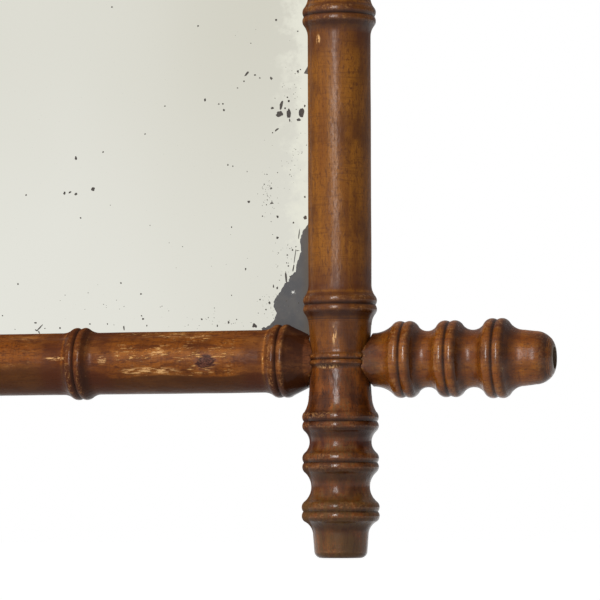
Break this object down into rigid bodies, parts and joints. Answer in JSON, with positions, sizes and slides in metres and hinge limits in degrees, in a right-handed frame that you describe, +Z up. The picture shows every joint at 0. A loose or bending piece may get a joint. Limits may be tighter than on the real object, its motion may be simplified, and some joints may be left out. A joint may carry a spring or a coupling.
{
  "type": "faux bamboo mirror",
  "caption": "Wall mirror in a turned faux bamboo frame: ringed stiles and rails cross at the corners and run on into knobbed ends, with swinging D rings behind.",
  "frame": {"origin": "on the wall plane that the rearmost finial beads touch, midway between the two hanger rings and level with their pins", "axes": "+X to the right as the viewer sees the mirror, +Y towards the wall, +Z up; the mirror faces -Y"},
  "size_m": [0.711, 0.0431, 0.8466],
  "materials": {
    "turned_wood": "old French polish",
    "silvered_glass": "silvered, foxed with age",
    "pine_board": "planed, unfinished",
    "softwood_block": "sawn",
    "iron_brad": "dull, lightly rusted",
    "hardwood_peg": "cut end grain",
    "brass_hanger": "tarnished",
    "brass_screw": "tarnished"
  },
  "bodies": {
    "frame": {"stile_left": "turned_wood", "stile_right": "turned_wood", "rail_bottom": "turned_wood", "rail_top": "turned_wood", "finial_bottom_left": "turned_wood", "finial_bottom_right": "turned_wood", "finial_top_left": "turned_wood", "finial_top_right": "turned_wood", "mirror_glass": "silvered_glass", "backboard_1": "pine_board", "backboard_2": "pine_board", "backboard_3": "pine_board", "backboard_4": "pine_board", "glass_wedges": "softwood_block", "backboard_brads": "iron_brad", "tenon_pegs": "hardwood_peg", "hanger_strap_left": "brass_hanger", "hanger_strap_right": "brass_hanger", "hanger_screws": "brass_screw"},
    "ring_left": {"hanger_ring_left": "brass_hanger"},
    "ring_right": {"hanger_ring_right": "brass_hanger"}
  },
  "joints": [
    {"name": "ring_left_swing", "type": "hinge", "parent": "frame", "child": "ring_left", "pos_m": [-0.2455, -0.00635, 0], "axis": [1, 0, 0], "range_deg": [0, 175]},
    {"name": "ring_right_swing", "type": "hinge", "parent": "frame", "child": "ring_right", "pos_m": [0.2455, -0.00635, 0], "axis": [1, 0, 0], "range_deg": [0, 175]}
  ]
}
